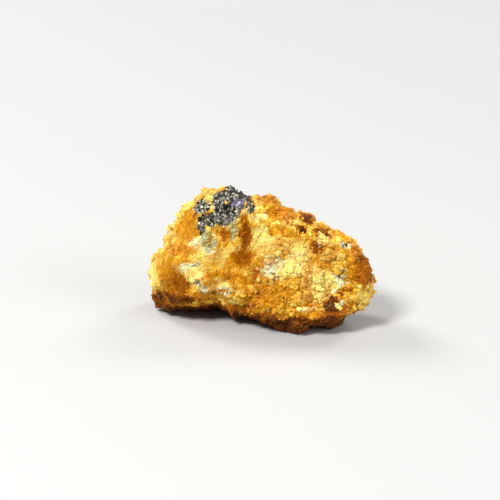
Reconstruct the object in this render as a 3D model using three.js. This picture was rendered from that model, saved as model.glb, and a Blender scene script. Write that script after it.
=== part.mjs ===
// A thumb-sized chip of carpholite: a fibrous, rust-stained lump broken from its vein, on its flattest side.
// Millimetres, +Z up, origin under the middle of the stone at the level it rests on.
// The stone is drawn in face axes: u to the right, v up the broken front face, w out of that face.
import * as THREE from 'three';
import { SimplexNoise } from 'three/addons/math/SimplexNoise.js';
import { mergeVertices } from 'three/addons/utils/BufferGeometryUtils.js';

// Driving dimensions
const LENGTH = 29.6; // left tip to right tip
const FACE_LEAN = 20; // degrees that the front face leans back from upright
const REST_DEPTH = 7.36; // from the heart of the stone down to the surface it lies on
const FRONT_BULGE = 7.2; // from the rim out to the front of the belly
const BACK_BULGE = 8.4; // from the rim to the back
const ROUNDNESS = 2.5; // 2 is an ellipsoid, higher is boxier
const RIM_TURN = 0.215; // how much nearer the rim comes per millimetre to the right
const RIM_TIP = 0.1; // how much nearer the rim comes per millimetre upwards
const EDGE_SHARPNESS = 22; // how crisply two broken faces meet
const SIDE_FADE = [-0.1, 0.35]; // where a feature of the front or the back fades out round the rim
const MESH_DETAIL = 19; // divisions of each side of the starting icosahedron
const MESH_STRETCH = new THREE.Vector3(1.7, 1.1, 0.95); // crowds corners to the far ends, for even facets
const RIM_STEPS = 720; // points along the rim's curve
const WELD = 1e-5; // corners of the starting icosahedron nearer than this are one
const SEED = 11;

// The rim, seen square on to the front face, as millimetres on a stone of the length above.
const RIM = [
  [-14.8, -2.3], [-14.1, 0.6], [-12.1, 2.2], [-11.5, 4.6], [-9.9, 6.9], [-8.3, 8.6],
  [-7.0, 9.1], [-4.1, 9.2], [-1.6, 8.9], [1.3, 7.9], [4.3, 6.8], [6.7, 5.9],
  [9.7, 4.2], [12.1, 2.7], [14.0, 0.8], [14.8, -2.8], [14.3, -4.9], [12.2, -6.6],
  [9.6, -8.6], [7.0, -8.2], [4.9, -9.3], [2.6, -8.1], [-2.6, -7.1], [-5.4, -6.5],
  [-9.0, -6.5], [-12.9, -6.0], [-14.3, -4.5],
];

// Broken faces: which way each looks (turn to the right of the front, lift above it) and how far out it lies.
const FACES = [
  { name: 'front', turn: 8, lift: 4, out: 5.6 },
  { name: 'left end', turn: -52, lift: -8, out: 12.4 },
  { name: 'upper left', turn: -30, lift: 34, out: 8.7 },
  { name: 'upper right slope', turn: 30, lift: 48, out: 7.6 },
  { name: 'right end', turn: 62, lift: -4, out: 14.2 },
  { name: 'lower front', turn: 4, lift: -38, out: 8.8 },
  { name: 'back', turn: 172, lift: 6, out: 6.8 },
  { name: 'back top', turn: 165, lift: 46, out: 8.4 },
  { name: 'back left', turn: -128, lift: 4, out: 12.2 },
  { name: 'back right', turn: 132, lift: 10, out: 12.0 },
  { name: 'underside', turn: -168, lift: -70, out: 7.2 },
];

// Lumps (height above 0) and hollows (below 0) at a place on the front or the back.
const SWELLS = [
  { name: 'belly', side: 1, at: [3.4, -4.2], reach: 5.2, height: 1.0 },
  { name: 'dark knob', side: 1, at: [-4.4, 7.4], reach: 2.6, height: 0.7 },
  { name: 'hollow under the knob', side: 1, at: [-6.8, 2.4], reach: 2.2, height: -0.9 },
  { name: 'left shoulder', side: 1, at: [-11.5, -1.2], reach: 3.0, height: 0.6 },
  { name: 'toe', side: 1, at: [4.6, -8.2], reach: 1.6, height: 0.7 },
  { name: 'underside recess', side: 1, at: [-7.2, -6.8], reach: 2.6, height: -1.1 },
  { name: 'white boss', side: 1, at: [1.5, -0.6], reach: 3.0, height: 0.5 },
  { name: 'right hollow', side: 1, at: [10.2, -2.4], reach: 2.4, height: -0.6 },
  { name: 'pit by the ledge', side: 1, at: [5.0, 3.9], reach: 1.2, height: -0.7 },
  { name: 'back hump', side: -1, at: [-3.5, 2.0], reach: 4.5, height: 1.0 },
  { name: 'back scar', side: -1, at: [4.5, -1.0], reach: 3.4, height: -1.3 },
  { name: 'back knuckle', side: -1, at: [9.0, -3.0], reach: 2.6, height: 0.8 },
];

// Ridges (above 0) and grooves (below 0) along a line on the front or the back.
const SEAMS = [
  { name: 'rusty groove', side: 1, from: [-1.9, 5.6], to: [-1.0, -2.2], reach: 0.8, height: -0.6 },
  { name: 'left corner ridge', side: 1, from: [-9.6, 1.4], to: [-8.8, -4.8], reach: 1.0, height: 0.5 },
  { name: 'ledge lip', side: 1, from: [3.6, 4.6], to: [10.6, 0.8], reach: 1.0, height: 0.6 },
  { name: 'lower lip', side: 1, from: [1.2, -6.6], to: [10.2, -6.2], reach: 1.1, height: 0.6 },
  { name: 'back ridge', side: -1, from: [-8.0, 5.0], to: [7.0, 1.0], reach: 1.6, height: 0.7 },
];

// Crust roughness, from clods with creases between them down to plain bumps: wavelength and height.
const CRUST = [
  { creased: true, wave: 7.5, height: 0.9 },
  { creased: true, wave: 3.4, height: 0.6 },
  { creased: false, wave: 1.7, height: 0.22 },
];
const CREASED_MEAN = 0.35; // what creased noise averages, so that it adds no size
const LAYER_SHIFT = 31; // keeps one layer of noise from lining up with the next

const STONE_COLOUR = 0xd9a23c;
const STONE_ROUGHNESS = 0.85;

// A repeatable stream of numbers from 0 to 1 for the noise table.
function seededRandom(seed) {
  const multiplier = 16807;
  const modulus = 2 ** 31 - 1;
  let state = seed;
  return () => {
    state = (state * multiplier) % modulus;
    return state / modulus;
  };
}
const noise = new SimplexNoise({ random: seededRandom(SEED) });

// Distance from the middle out to the rim, for any angle round it.
function rimReach() {
  const knots = RIM.map(([u, v]) => new THREE.Vector3(u, v, 0));
  const curve = new THREE.CatmullRomCurve3(knots, true, 'centripetal');
  const spokes = curve.getPoints(RIM_STEPS).map((p) => [Math.atan2(p.y, p.x), Math.hypot(p.x, p.y)]);
  spokes.sort((a, b) => a[0] - b[0]);
  return (angle) => {
    const next = spokes.findIndex((s) => s[0] >= angle);
    const b = spokes[next < 0 ? 0 : next];
    const a = spokes[next <= 0 ? spokes.length - 1 : next - 1];
    const full = 2 * Math.PI;
    const gap = (b[0] - a[0] + full) % full || 1;
    return THREE.MathUtils.lerp(a[1], b[1], ((angle - a[0] + full) % full) / gap);
  };
}
const reachOfRim = rimReach();

const faceNormals = FACES.map(({ turn, lift }) => {
  const t = THREE.MathUtils.degToRad(turn);
  const l = THREE.MathUtils.degToRad(lift);
  return new THREE.Vector3(Math.sin(t) * Math.cos(l), Math.sin(l), Math.cos(t) * Math.cos(l));
});

// The smooth lump of the rim and the bulges, trimmed by the broken faces.
function brokenRadius(direction) {
  const across = Math.hypot(direction.x, direction.y);
  const rim = reachOfRim(Math.atan2(direction.y, direction.x));
  const bulge = direction.z > 0 ? FRONT_BULGE : BACK_BULGE;
  const lump = (across / rim) ** ROUNDNESS + (Math.abs(direction.z) / bulge) ** ROUNDNESS;
  let crowding = lump ** (EDGE_SHARPNESS / ROUNDNESS);
  FACES.forEach(({ out }, i) => {
    const facing = faceNormals[i].dot(direction);
    if (facing > 0) crowding += (facing / out) ** EDGE_SHARPNESS;
  });
  return crowding ** (-1 / EDGE_SHARPNESS);
}

// Distance from a point to the line between two places on the face.
function distanceToSeam(u, v, { from, to }) {
  const along = [to[0] - from[0], to[1] - from[1]];
  const length2 = along[0] ** 2 + along[1] ** 2;
  const share = ((u - from[0]) * along[0] + (v - from[1]) * along[1]) / length2;
  const t = THREE.MathUtils.clamp(share, 0, 1);
  return Math.hypot(u - from[0] - t * along[0], v - from[1] - t * along[1]);
}

// Height of the lumps, hollows, seams and crust at a point of the broken block.
function relief(point, direction) {
  let height = 0;
  const sideShare = (side) => THREE.MathUtils.smoothstep(side * direction.z, ...SIDE_FADE);
  for (const swell of SWELLS) {
    const away = Math.hypot(point.x - swell.at[0], point.y - swell.at[1]) / swell.reach;
    height += swell.height * Math.exp(-away * away) * sideShare(swell.side);
  }
  for (const seam of SEAMS) {
    const away = distanceToSeam(point.x, point.y, seam) / seam.reach;
    height += seam.height * Math.exp(-away * away) * sideShare(seam.side);
  }
  CRUST.forEach(({ creased, wave, height: rough }, i) => {
    const bump = noise.noise3d(point.x / wave + LAYER_SHIFT * i, point.y / wave, point.z / wave);
    height += rough * (creased ? Math.abs(bump) - CREASED_MEAN : bump);
  });
  return height;
}

// How far a spoke from the heart runs before it meets the surface that the stone lies on.
function restLimit(direction) {
  const lean = THREE.MathUtils.degToRad(FACE_LEAN);
  const rise = direction.y * Math.cos(lean) + sheared(direction) * Math.sin(lean);
  return rise < 0 ? REST_DEPTH / -rise : Infinity;
}

// The w of a point once the rim is turned and tipped.
function sheared(point) {
  return point.z + RIM_TURN * point.x + RIM_TIP * point.y;
}

// The whole stone: an icosahedron pushed out to the broken block and its relief, flat where it rests.
function stoneGeometry() {
  const ball = new THREE.IcosahedronGeometry(1, MESH_DETAIL);
  ball.deleteAttribute('normal');
  ball.deleteAttribute('uv');
  const geometry = mergeVertices(ball, WELD);
  const place = geometry.getAttribute('position');
  const direction = new THREE.Vector3();
  const point = new THREE.Vector3();
  for (let i = 0; i < place.count; i++) {
    direction.fromBufferAttribute(place, i).multiply(MESH_STRETCH).normalize();
    const radius = brokenRadius(direction);
    point.copy(direction).multiplyScalar(radius);
    const rough = radius + relief(point, direction);
    point.copy(direction).multiplyScalar(Math.min(rough, restLimit(direction)));
    place.setXYZ(i, point.x, point.y, sheared(point));
  }
  geometry.rotateX(THREE.MathUtils.degToRad(90 - FACE_LEAN)); // v leans back from +Z, w leans up from -Y
  geometry.computeBoundingBox();
  const { min, max } = geometry.boundingBox;
  const scale = LENGTH / (max.x - min.x);
  geometry.translate(-(min.x + max.x) / 2, -(min.y + max.y) / 2, -min.z);
  geometry.scale(scale, scale, scale);
  geometry.computeVertexNormals();
  return geometry;
}

const stone = new THREE.Mesh(
  stoneGeometry(),
  new THREE.MeshStandardMaterial({ color: STONE_COLOUR, roughness: STONE_ROUGHNESS, metalness: 0 }),
);
stone.name = 'carpholite';

const specimen = new THREE.Group();
specimen.add(stone);

export default specimen;
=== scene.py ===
"""A broken lump of carpholite: its rough crust, and the fibres and grains that grow on it."""

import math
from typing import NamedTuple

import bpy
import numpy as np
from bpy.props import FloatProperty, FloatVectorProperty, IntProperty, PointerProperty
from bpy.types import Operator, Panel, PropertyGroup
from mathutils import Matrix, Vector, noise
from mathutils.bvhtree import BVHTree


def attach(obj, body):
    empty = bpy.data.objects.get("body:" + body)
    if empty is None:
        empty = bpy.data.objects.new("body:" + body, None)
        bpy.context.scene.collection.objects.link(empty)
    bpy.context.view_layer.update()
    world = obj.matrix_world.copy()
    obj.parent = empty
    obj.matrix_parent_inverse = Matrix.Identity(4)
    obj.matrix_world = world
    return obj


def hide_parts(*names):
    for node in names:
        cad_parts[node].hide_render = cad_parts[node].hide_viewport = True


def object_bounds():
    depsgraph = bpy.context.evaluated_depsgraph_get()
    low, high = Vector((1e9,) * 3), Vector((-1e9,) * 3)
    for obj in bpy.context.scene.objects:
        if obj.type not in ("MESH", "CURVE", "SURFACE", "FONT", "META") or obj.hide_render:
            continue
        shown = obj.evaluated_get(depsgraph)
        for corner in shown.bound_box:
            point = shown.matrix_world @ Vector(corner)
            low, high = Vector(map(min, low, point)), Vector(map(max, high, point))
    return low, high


bl_info = {
    "name": "Carpholite specimen",
    "version": (1, 0, 0),
    "blender": (4, 5, 0),
    "location": "View3D > Sidebar > Carpholite",
    "description": "Dresses a lump of carpholite in its crust, silky fibres, sugary grains and dark oxide",
    "category": "Add Mesh",
}

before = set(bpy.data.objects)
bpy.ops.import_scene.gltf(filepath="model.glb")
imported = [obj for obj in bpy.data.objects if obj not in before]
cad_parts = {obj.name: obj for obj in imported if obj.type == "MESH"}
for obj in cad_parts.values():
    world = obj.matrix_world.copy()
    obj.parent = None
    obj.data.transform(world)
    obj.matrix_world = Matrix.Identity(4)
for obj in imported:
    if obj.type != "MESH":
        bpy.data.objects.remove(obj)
CAD_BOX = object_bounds()

STONE_NODE = "carpholite"
CRUST_NAME = "stone_crust"
BODY = "root"
MM = 0.001
NOISE_SEED = 4
noise.seed_set(NOISE_SEED)  # unset, noise vectors differ from run to run

# Face axes of the stone: u to the right, v up the leaning front face and w out of it, in millimetres.
FACE_LEAN = math.radians(20)
U_AXIS = np.array([1.0, 0.0, 0.0])
V_AXIS = np.array([0.0, math.sin(FACE_LEAN), math.cos(FACE_LEAN)])
W_AXIS = np.array([0.0, -math.cos(FACE_LEAN), math.sin(FACE_LEAN)])
RIM_TURN = 0.215  # how much nearer the rim comes per millimetre to the right
RIM_TIP = 0.1  # how much nearer the rim comes per millimetre upwards
FRONT_FADE = (-2.8, 0.6)  # from behind the rim to before it, where the back's look gives way to the front's

FRONT, BACK = 1, -1


class Patch(NamedTuple):
    """An oval on the front or the back, in millimetres, its long way turned by tilt in degrees."""

    u: float
    v: float
    half_wide: float
    half_high: float
    tilt: float = 0.0
    strength: float = 1.0
    side: int = FRONT


# Where each mineral or stain shows. Rust runs from orange at a half to dark brown at one. The rust patches
# along the bottom edge, at v below about −7, are partly rust stain and partly painted shade of the
# underside.
RUST = [
    Patch(-2.1, 3.6, 0.7, 2.4, 0, 0.66),
    Patch(-2.4, 0.0, 1.3, 1.4, 0, 0.58),
    Patch(-1.5, 7.7, 0.4, 0.4, 0, 0.8),
    Patch(-4.8, 3.2, 0.4, 0.9, 0, 0.6),
    Patch(-9.4, 4.5, 0.9, 2.8, -20, 0.38),
    Patch(-11.0, 1.3, 1.5, 0.9, 0, 0.38),
    Patch(-11.7, -2.3, 1.5, 2.6, 0, 0.4),
    Patch(-10.6, -3.3, 1.1, 1.6, 12, 0.62),
    Patch(-12.8, -4.8, 1.9, 0.8, 0, 0.9),
    Patch(-10.2, -5.0, 2.4, 0.6, 0, 0.95),
    Patch(5.7, 5.2, 0.9, 0.8, 0, 0.9),
    Patch(5.0, 3.8, 0.5, 0.4, 0, 1.0),
    Patch(7.1, 3.8, 0.6, 0.4, 0, 0.7),
    Patch(8.2, 3.3, 0.8, 0.4, -20, 0.8),
    Patch(7.1, 1.8, 0.7, 1.0, 0, 0.7),
    Patch(13.0, -0.5, 1.3, 1.3, 0, 0.68),
    Patch(12.6, -2.3, 1.7, 0.9, 0, 0.66),
    Patch(8.8, -5.3, 1.1, 0.6, 15, 0.75),
    Patch(9.2, -6.4, 1.3, 0.5, 0, 0.7),
    Patch(-1.5, -5.8, 1.1, 0.6, 0, 0.8),
    Patch(8.4, -7.7, 2.2, 0.9, 5, 0.95),
    Patch(4.6, -7.9, 2.0, 0.8, 0, 0.85),
    Patch(-0.7, -1.5, 0.8, 1.0, 0, 0.5),
    Patch(-4.0, -1.9, 1.8, 0.5, -10, 0.5),
    Patch(0.8, 7.7, 1.5, 0.6, -20, 0.3),
    Patch(3.0, 6.1, 1.3, 1.0, 0, 0.4),
    Patch(-5.6, 7.2, 0.4, 0.4, 0, 0.7),
    Patch(11.6, 1.3, 1.0, 0.6, -35, 0.45),
    Patch(1.1, -7.4, 2.2, 0.6, -10, 0.8),
    Patch(-3.4, -6.3, 1.8, 0.5, -10, 0.6),
    Patch(3.0, -3.9, 1.1, 0.8, 0, 0.3),
    Patch(0.1, -4.1, 1.0, 1.0, 0, 0.35),
    Patch(-1.2, -2.6, 0.6, 0.5, 0, 0.55),
]
CREAM = [
    Patch(1.3, -1.0, 1.9, 1.3, 0, 0.7),
    Patch(3.6, -0.8, 1.6, 1.0, 0, 0.55),
    Patch(4.4, 0.8, 1.5, 1.1, -15, 0.45),
    Patch(-0.1, 3.0, 1.0, 1.2, -30, 0.55),
    Patch(-9.2, -0.8, 1.6, 0.6, 4, 0.75),
    Patch(-8.4, -2.4, 0.8, 1.4, 15, 0.6),
    Patch(-7.5, -3.9, 0.7, 0.4, -10, 1.0),
    Patch(-8.6, 1.9, 1.0, 0.6, -10, 0.6),
    Patch(9.4, -2.6, 1.0, 1.2, -15, 0.75),
    Patch(10.5, 1.8, 0.7, 0.4, -30, 0.95),
    Patch(5.4, -6.6, 0.9, 0.7, 0, 0.55),
    Patch(-6.4, 8.0, 0.9, 0.5, 0, 0.6),
    Patch(-0.3, 5.4, 0.8, 0.4, 0, 0.6),
    # Painted highlight: this cream strip along the left edge stands for the rim light there.
    Patch(-14.3, -1.5, 0.5, 2.2, 0, 0.5),
    Patch(7.0, -4.2, 0.9, 0.9, 0, 0.45),
    Patch(7.3, -2.5, 1.3, 1.2, 0, 0.4),
    Patch(7.4, 2.5, 0.8, 0.5, -20, 0.4),
    Patch(9.8, -5.8, 0.4, 0.3, 0, 0.9),
    Patch(-9.5, 5.5, 2.2, 1.4, 20, 0.42, BACK),
    Patch(9.0, 0.5, 2.0, 1.4, -15, 0.42, BACK),
    Patch(2.0, -3.5, 2.2, 1.2, 20, 0.4, BACK),
]
OLIVE = [
    Patch(-6.9, 2.5, 1.1, 1.4, 0, 0.9),
    Patch(-3.6, 3.7, 0.7, 1.4, 0, 0.85),
    Patch(-4.8, -4.2, 1.3, 0.9, 0, 0.55),
    Patch(1.9, 0.4, 0.5, 0.3, 0, 0.8),
    Patch(10.5, -1.9, 0.7, 0.9, 0, 0.8),
    Patch(-2.7, -4.2, 0.8, 0.6, 0, 0.4),
    Patch(0.1, -6.1, 1.3, 0.6, 0, 0.5),
    Patch(2.2, 6.4, 0.4, 0.5, 0, 0.6),
    Patch(-1.5, 6.4, 0.6, 0.7, 0, 0.7),
    Patch(-5.4, 4.3, 1.4, 0.5, 10, 0.6),
    Patch(-7.5, 4.5, 1.6, 1.2, 0, 0.6, BACK),
    Patch(6.5, 2.0, 1.4, 1.0, 0, 0.6, BACK),
]
OXIDE = [
    Patch(-3.9, 7.3, 2.2, 1.4, 0, 1.0),
    Patch(-5.0, 5.5, 2.2, 1.0, 12, 1.0),
    Patch(-7.6, 6.7, 0.8, 0.7, 0, 0.8),
    Patch(-5.9, 6.3, 0.6, 0.4, 0, 1.0),
    Patch(-7.6, 4.2, 0.5, 0.8, 0, 0.7),
    Patch(-3.0, 8.9, 1.5, 0.5, 0, 0.8),
    Patch(-1.5, 6.5, 0.6, 0.6, 0, 0.4),
    Patch(-8.4, -0.6, 0.4, 0.2, 10, 1.0),
    Patch(-8.4, -3.1, 0.3, 0.3, -40, 1.0),
    Patch(10.4, 1.8, 0.3, 0.2, -30, 0.8),
    Patch(-3.5, 7.6, 1.6, 1.0, 0, 0.8, BACK),
    Patch(-1.6, 5.0, 0.7, 0.9, 30, 0.55, BACK),
]
VIOLET = [
    Patch(-3.0, 6.9, 0.9, 0.7, 0, 0.9),
    Patch(6.2, 5.8, 0.6, 0.4, 0, 0.9),
]
SUGAR = [
    Patch(4.9, -4.5, 7.0, 2.8, 0, 1.0),
    Patch(7.5, -0.3, 5.1, 3.2, 0, 0.8),
    Patch(1.7, 6.4, 3.8, 1.9, -20, 0.6),
    Patch(2.0, -0.2, 3.0, 2.2, 0, 0.9),
    Patch(3.0, 0.0, 7.0, 5.0, 0, 0.6, BACK),
]
PALE = [
    Patch(-0.2, 3.3, 1.3, 1.1, 0, 0.35),
    Patch(0.7, 1.7, 1.6, 1.3, 0, 0.4),
    Patch(3.2, 1.2, 1.9, 1.4, -15, 0.38),
    Patch(4.7, 1.5, 1.6, 1.1, -20, 0.45),
    Patch(5.4, 0.4, 1.4, 1.2, 0, 0.45),
    Patch(3.4, -1.2, 2.2, 1.3, 0, 0.4),
    Patch(6.4, -1.9, 2.1, 1.6, 0, 0.5),
    Patch(7.3, -3.2, 2.1, 2.1, 0, 0.6),
    Patch(4.6, -2.8, 1.5, 0.9, 0, 0.25),
    Patch(9.4, 0.2, 1.5, 0.9, -30, 0.28),
    Patch(7.3, 2.6, 1.2, 0.7, -20, 0.42),
    Patch(-9.0, 8.0, 1.4, 0.9, 40, 0.4),
    Patch(-6.6, 8.2, 1.8, 0.9, 0, 0.5),
    Patch(-8.4, 6.0, 0.7, 0.9, 0, 0.35),
    # Painted highlight: this patch and the next stand for the rim light on the top-left and left edges.
    Patch(-11.6, 4.4, 0.9, 2.0, -15, 0.35),
    Patch(-14.3, -2.0, 0.7, 2.4, 0, 0.45),
    Patch(-13.2, 1.2, 1.0, 0.8, 40, 0.25),
    Patch(-6.2, 0.7, 3.0, 0.7, 10, 0.36),
    Patch(-8.3, -2.4, 1.2, 1.5, 15, 0.42),
    Patch(-5.4, -3.1, 2.0, 0.8, 5, 0.35),
    Patch(0.3, 7.8, 1.6, 0.6, -15, 0.35),
    Patch(-0.3, 5.4, 1.0, 0.6, 0, 0.3),
    Patch(3.2, 4.9, 1.1, 0.7, -20, 0.35),
    Patch(-12.4, 0.4, 1.2, 0.8, 0, 0.22),
    Patch(8.7, -1.0, 0.9, 0.9, 0, 0.25),
    Patch(9.8, -5.7, 0.8, 0.5, 0, 0.4),
    Patch(12.6, -4.6, 1.3, 0.7, 15, 0.12),
    Patch(5.6, -5.4, 1.9, 0.9, 0, 0.3),
    Patch(2.6, -5.8, 0.9, 0.5, 0, 0.25),
    Patch(-3.2, -5.4, 0.9, 0.5, 0, 0.2),
]
DEEP = [
    Patch(1.6, -4.4, 1.8, 1.3, 0, 0.3),
    Patch(4.4, -3.8, 0.9, 0.6, 0, 0.25),
    Patch(-3.2, -2.3, 1.9, 0.5, -8, 0.35),
    Patch(-5.3, -2.2, 1.3, 0.5, 0, 0.3),
    Patch(-4.0, -0.1, 0.8, 1.1, 0, 0.3),
    Patch(11.6, -1.3, 1.5, 1.5, -20, 0.45),
    Patch(3.4, 3.2, 1.0, 0.5, -15, 0.25),
    Patch(1.7, 3.7, 0.7, 0.6, 0, 0.25),
    Patch(2.0, 6.3, 1.2, 0.7, -15, 0.25),
    Patch(7.0, -0.9, 0.6, 0.6, 0, 0.25),
    Patch(-12.4, -0.6, 1.1, 1.6, 0, 0.35),
    Patch(-9.9, 5.0, 0.9, 2.0, -20, 0.3),
    Patch(-9.4, 2.9, 1.2, 0.9, 0, 0.35),
    Patch(-8.8, -4.7, 2.0, 0.6, 0, 0.45),
    Patch(0.0, -6.9, 2.4, 0.6, -8, 0.4),
    Patch(-1.0, -5.7, 1.5, 1.0, 0, 0.5),
    Patch(5.8, -7.0, 2.2, 0.5, 0, 0.5),
    Patch(3.0, -6.9, 1.0, 0.5, 0, 0.4),
]
PITS = [
    Patch(-8.4, -0.6, 0.45, 0.3, 10, 0.45),
    Patch(-8.4, -3.1, 0.4, 0.35, -40, 0.45),
    Patch(5.0, 3.8, 0.6, 0.5, 0, 0.5),
    Patch(10.4, 1.8, 0.4, 0.3, -30, 0.3),
    Patch(-5.0, 6.3, 1.0, 0.4, 0, 0.35),
]
ZONES = {"rust": RUST, "cream": CREAM, "olive": OLIVE, "oxide": OXIDE, "violet": VIOLET}
UNDERSIDE_STAIN_SHADE_FADE = (3.3, 1.4)  # heights in millimetres where the underside's brown, partly rust stain and partly painted shade, starts and is full
UNDERSIDE_STAIN_SHADE_SWING = 0.5  # how far those heights wander, in millimetres
# how brown the underside gets: partly rust stain, partly painted shade
UNDERSIDE_RUST_AND_SHADE = 0.95
PLAIN_RUST = {FRONT: (0.06, 0.24), BACK: (0.6, 0.45)}  # the stain where no patch is: its mean and its swing
RUST_WAVE = 3.2 * MM  # between the plain stain's blotches
CLEAN_FADE = (0.25, 0.85)  # how free of cream and olive a place is, from no stain to all of it
PATCH_FADE = (1.45, 0.6)  # from outside a patch to well inside it, in half-widths
RAGGED_EDGES = ((0.5 * MM, 1.3 * MM, 0), (0.22 * MM, 0.45 * MM, 1))  # shift, wave and noise layer
SHADE_MEAN = 0.6  # of plain straw, from 0, deep, to 1, pale
SHADE_WAVES = ((0.2, 2.3 * MM, 6), (0.26, 0.9 * MM, 7))  # swing, wave and noise layer
HOLLOW_PAINTED_SHADE = 0.4  # how much deeper the straw is painted in a hollow, as painted shade
GRAIN_SHADE_SPREAD = 0.07
FIBRE_SHADE_SPREAD = 0.1
LAYER_SHIFT = 17.3  # keeps one layer of noise from lining up with the next


class Fan(NamedTuple):
    """Fibres that lie one way on a patch: way and scatter in degrees, length in millimetres."""

    patch: Patch
    way: float
    scatter: float
    length: float
    sheaves: int


FANS = [
    Fan(Patch(-12.5, -2.2, 1.9, 3.4), 88, 6, 0.95, 260),
    Fan(Patch(-10.4, -3.0, 1.0, 2.2), 107, 6, 0.95, 110),
    Fan(Patch(-6.1, 0.2, 2.8, 1.1), 14, 11, 0.8, 100),
    Fan(Patch(-2.1, 3.4, 0.8, 2.8), 96, 7, 0.8, 90),
    Fan(Patch(-2.4, -0.3, 1.4, 1.5), 116, 14, 0.65, 70),
    Fan(Patch(-10.0, 4.5, 1.4, 3.2, -20), 62, 14, 0.6, 80),
    Fan(Patch(12.8, -2.2, 1.8, 1.0), 4, 9, 0.75, 80),
    Fan(Patch(12.7, -4.2, 1.8, 1.0), -12, 12, 0.7, 50),
    Fan(Patch(0.1, 2.6, 1.3, 1.8), 58, 16, 0.6, 50),
    Fan(Patch(-9.1, -0.9, 1.8, 0.8), -4, 9, 0.85, 70),
    Fan(Patch(-8.5, -1.0, 4.5, 4.0, 0, 1.0, BACK), 80, 12, 0.9, 200),
    Fan(Patch(8.5, -2.0, 4.0, 3.0, 0, 1.0, BACK), 20, 12, 0.8, 160),
]


# Settings


class CrustSettings(PropertyGroup):
    voxel: FloatProperty(
        name="Voxel", description="Edge of the crust's faces", default=0.000155, subtype="DISTANCE"
    )
    sink: FloatProperty(
        name="Sink",
        description="How far the crust lies inside the packed stone, to leave room for grains and fibres",
        default=0.24 * MM,
        subtype="DISTANCE",
    )
    clod_size: FloatProperty(
        name="Clod", description="Size of the coarse clods", default=1.5 * MM, subtype="DISTANCE"
    )
    clod_height: FloatProperty(
        name="Clod height", description="How far the clods stand out", default=0.85 * MM, subtype="DISTANCE"
    )
    lump_size: FloatProperty(
        name="Lump", description="Size of the sugary lumps", default=0.72 * MM, subtype="DISTANCE"
    )
    lump_height: FloatProperty(
        name="Lump height", description="How far the lumps stand out", default=0.42 * MM, subtype="DISTANCE"
    )
    grit_height: FloatProperty(
        name="Grit height", description="Height of the fine roughness", default=0.07 * MM, subtype="DISTANCE"
    )
    ridge_height: FloatProperty(
        name="Ridge height", description="Height of fibre ridges", default=0.2 * MM, subtype="DISTANCE"
    )


class FibreSettings(PropertyGroup):
    width: FloatProperty(name="Width", description="Width of a fibre", default=0.14 * MM, subtype="DISTANCE")
    per_sheaf: IntProperty(name="Fibres in a sheaf", description="Fibres that lie together", default=8)
    felt_sheaves: IntProperty(
        name="Felt", description="Sheaves that lie every way between the fans", default=2900
    )
    felt_length: FloatProperty(
        name="Felt length", description="Length of the felted fibres", default=0.5 * MM, subtype="DISTANCE"
    )
    stand_off: FloatProperty(
        name="Stand-off",
        description="How far a fibre's ends may stand off the crust",
        default=0.13 * MM,
        subtype="DISTANCE",
    )
    seed: IntProperty(name="Seed", description="Changes where the fibres stand", default=5)


class GrainSettings(PropertyGroup):
    sugar: IntProperty(name="Sugary grains", description="How many sugary grains", default=3600)
    sugar_size: FloatProperty(
        name="Sugary size", description="Usual size of a sugary grain", default=0.36 * MM, subtype="DISTANCE"
    )
    needles: IntProperty(name="Needles", description="How many short upright needles", default=4000)
    needle_length: FloatProperty(
        name="Needle length", description="Length of a needle", default=0.34 * MM, subtype="DISTANCE"
    )
    oxide: IntProperty(name="Oxide grains", description="How many dark oxide grains", default=3600)
    oxide_size: FloatProperty(
        name="Oxide size", description="Usual size of an oxide grain", default=0.21 * MM, subtype="DISTANCE"
    )
    quartz: IntProperty(name="Quartz grains", description="How many clear or white grains", default=1500)
    quartz_size: FloatProperty(
        name="Quartz size", description="Usual size of a quartz grain", default=0.26 * MM, subtype="DISTANCE"
    )
    seed: IntProperty(name="Seed", description="Changes where the grains sit", default=8)


def colour_property(name, description, default):
    return FloatVectorProperty(
        name=name, description=description, default=default, subtype="COLOR", size=3, min=0.0, max=1.0
    )


class ColourSettings(PropertyGroup):
    # Deep straw also serves as the painted shade that the shade attribute puts in hollows.
    straw_deep: colour_property("Deep straw", "Straw yellow in hollows", (0.62, 0.27, 0.006))
    straw: colour_property("Straw", "Straw yellow of clean carpholite", (0.8, 0.47, 0.04))
    straw_pale: colour_property("Pale straw", "Straw yellow of bleached tips", (0.94, 0.77, 0.2))
    orange: colour_property("Orange", "Light iron stain", (0.58, 0.2, 0.004))
    brown: colour_property("Brown", "Heavy iron stain", (0.33, 0.085, 0.001))
    umber: colour_property("Umber", "Iron stain in the deepest cracks", (0.07, 0.017, 0.002))
    cream: colour_property("Cream", "Bleached silky fibres", (0.88, 0.79, 0.42))
    ice: colour_property("Ice", "Grey-white quartz", (0.64, 0.65, 0.47))
    olive: colour_property("Olive", "Olive glassy hollows", (0.36, 0.29, 0.05))
    oxide: colour_property("Oxide", "Dark manganese oxide", (0.036, 0.032, 0.027))
    steel: colour_property("Steel", "Bright faces of the oxide", (0.36, 0.33, 0.26))
    violet: colour_property("Violet", "Violet sheen of the oxide", (0.14, 0.12, 0.165))
    floor: colour_property("Floor", "Pale floor", (0.5, 0.5, 0.49))


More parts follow.
